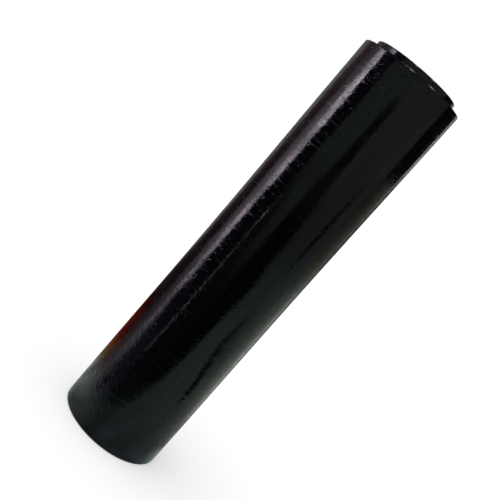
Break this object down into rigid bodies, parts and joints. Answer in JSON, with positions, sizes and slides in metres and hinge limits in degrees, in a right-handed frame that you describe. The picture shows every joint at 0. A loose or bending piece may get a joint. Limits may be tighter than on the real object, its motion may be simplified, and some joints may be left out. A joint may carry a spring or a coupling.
{
  "type": "stretch wrap roll",
  "caption": "Roll of black stretch film wound on a thick-walled plastic tube core, which stands out of the film at one end.",
  "frame": {"origin": "centre of the roll's flush end, on the surface it stands on", "axes": "+Z along the roll's axis, towards the end where the core stands out of the film"},
  "size_m": [0.1238, 0.1238, 0.5073],
  "materials": {
    "stretch_film": "black stretch film, mirror-like with fine ripples round the roll",
    "core_plastic": "black moulded plastic, glossy outside and satin on its cut ends"
  },
  "bodies": {
    "root": {"core_tube": "core_plastic", "film_roll": "stretch_film"}
  },
  "joints": []
}
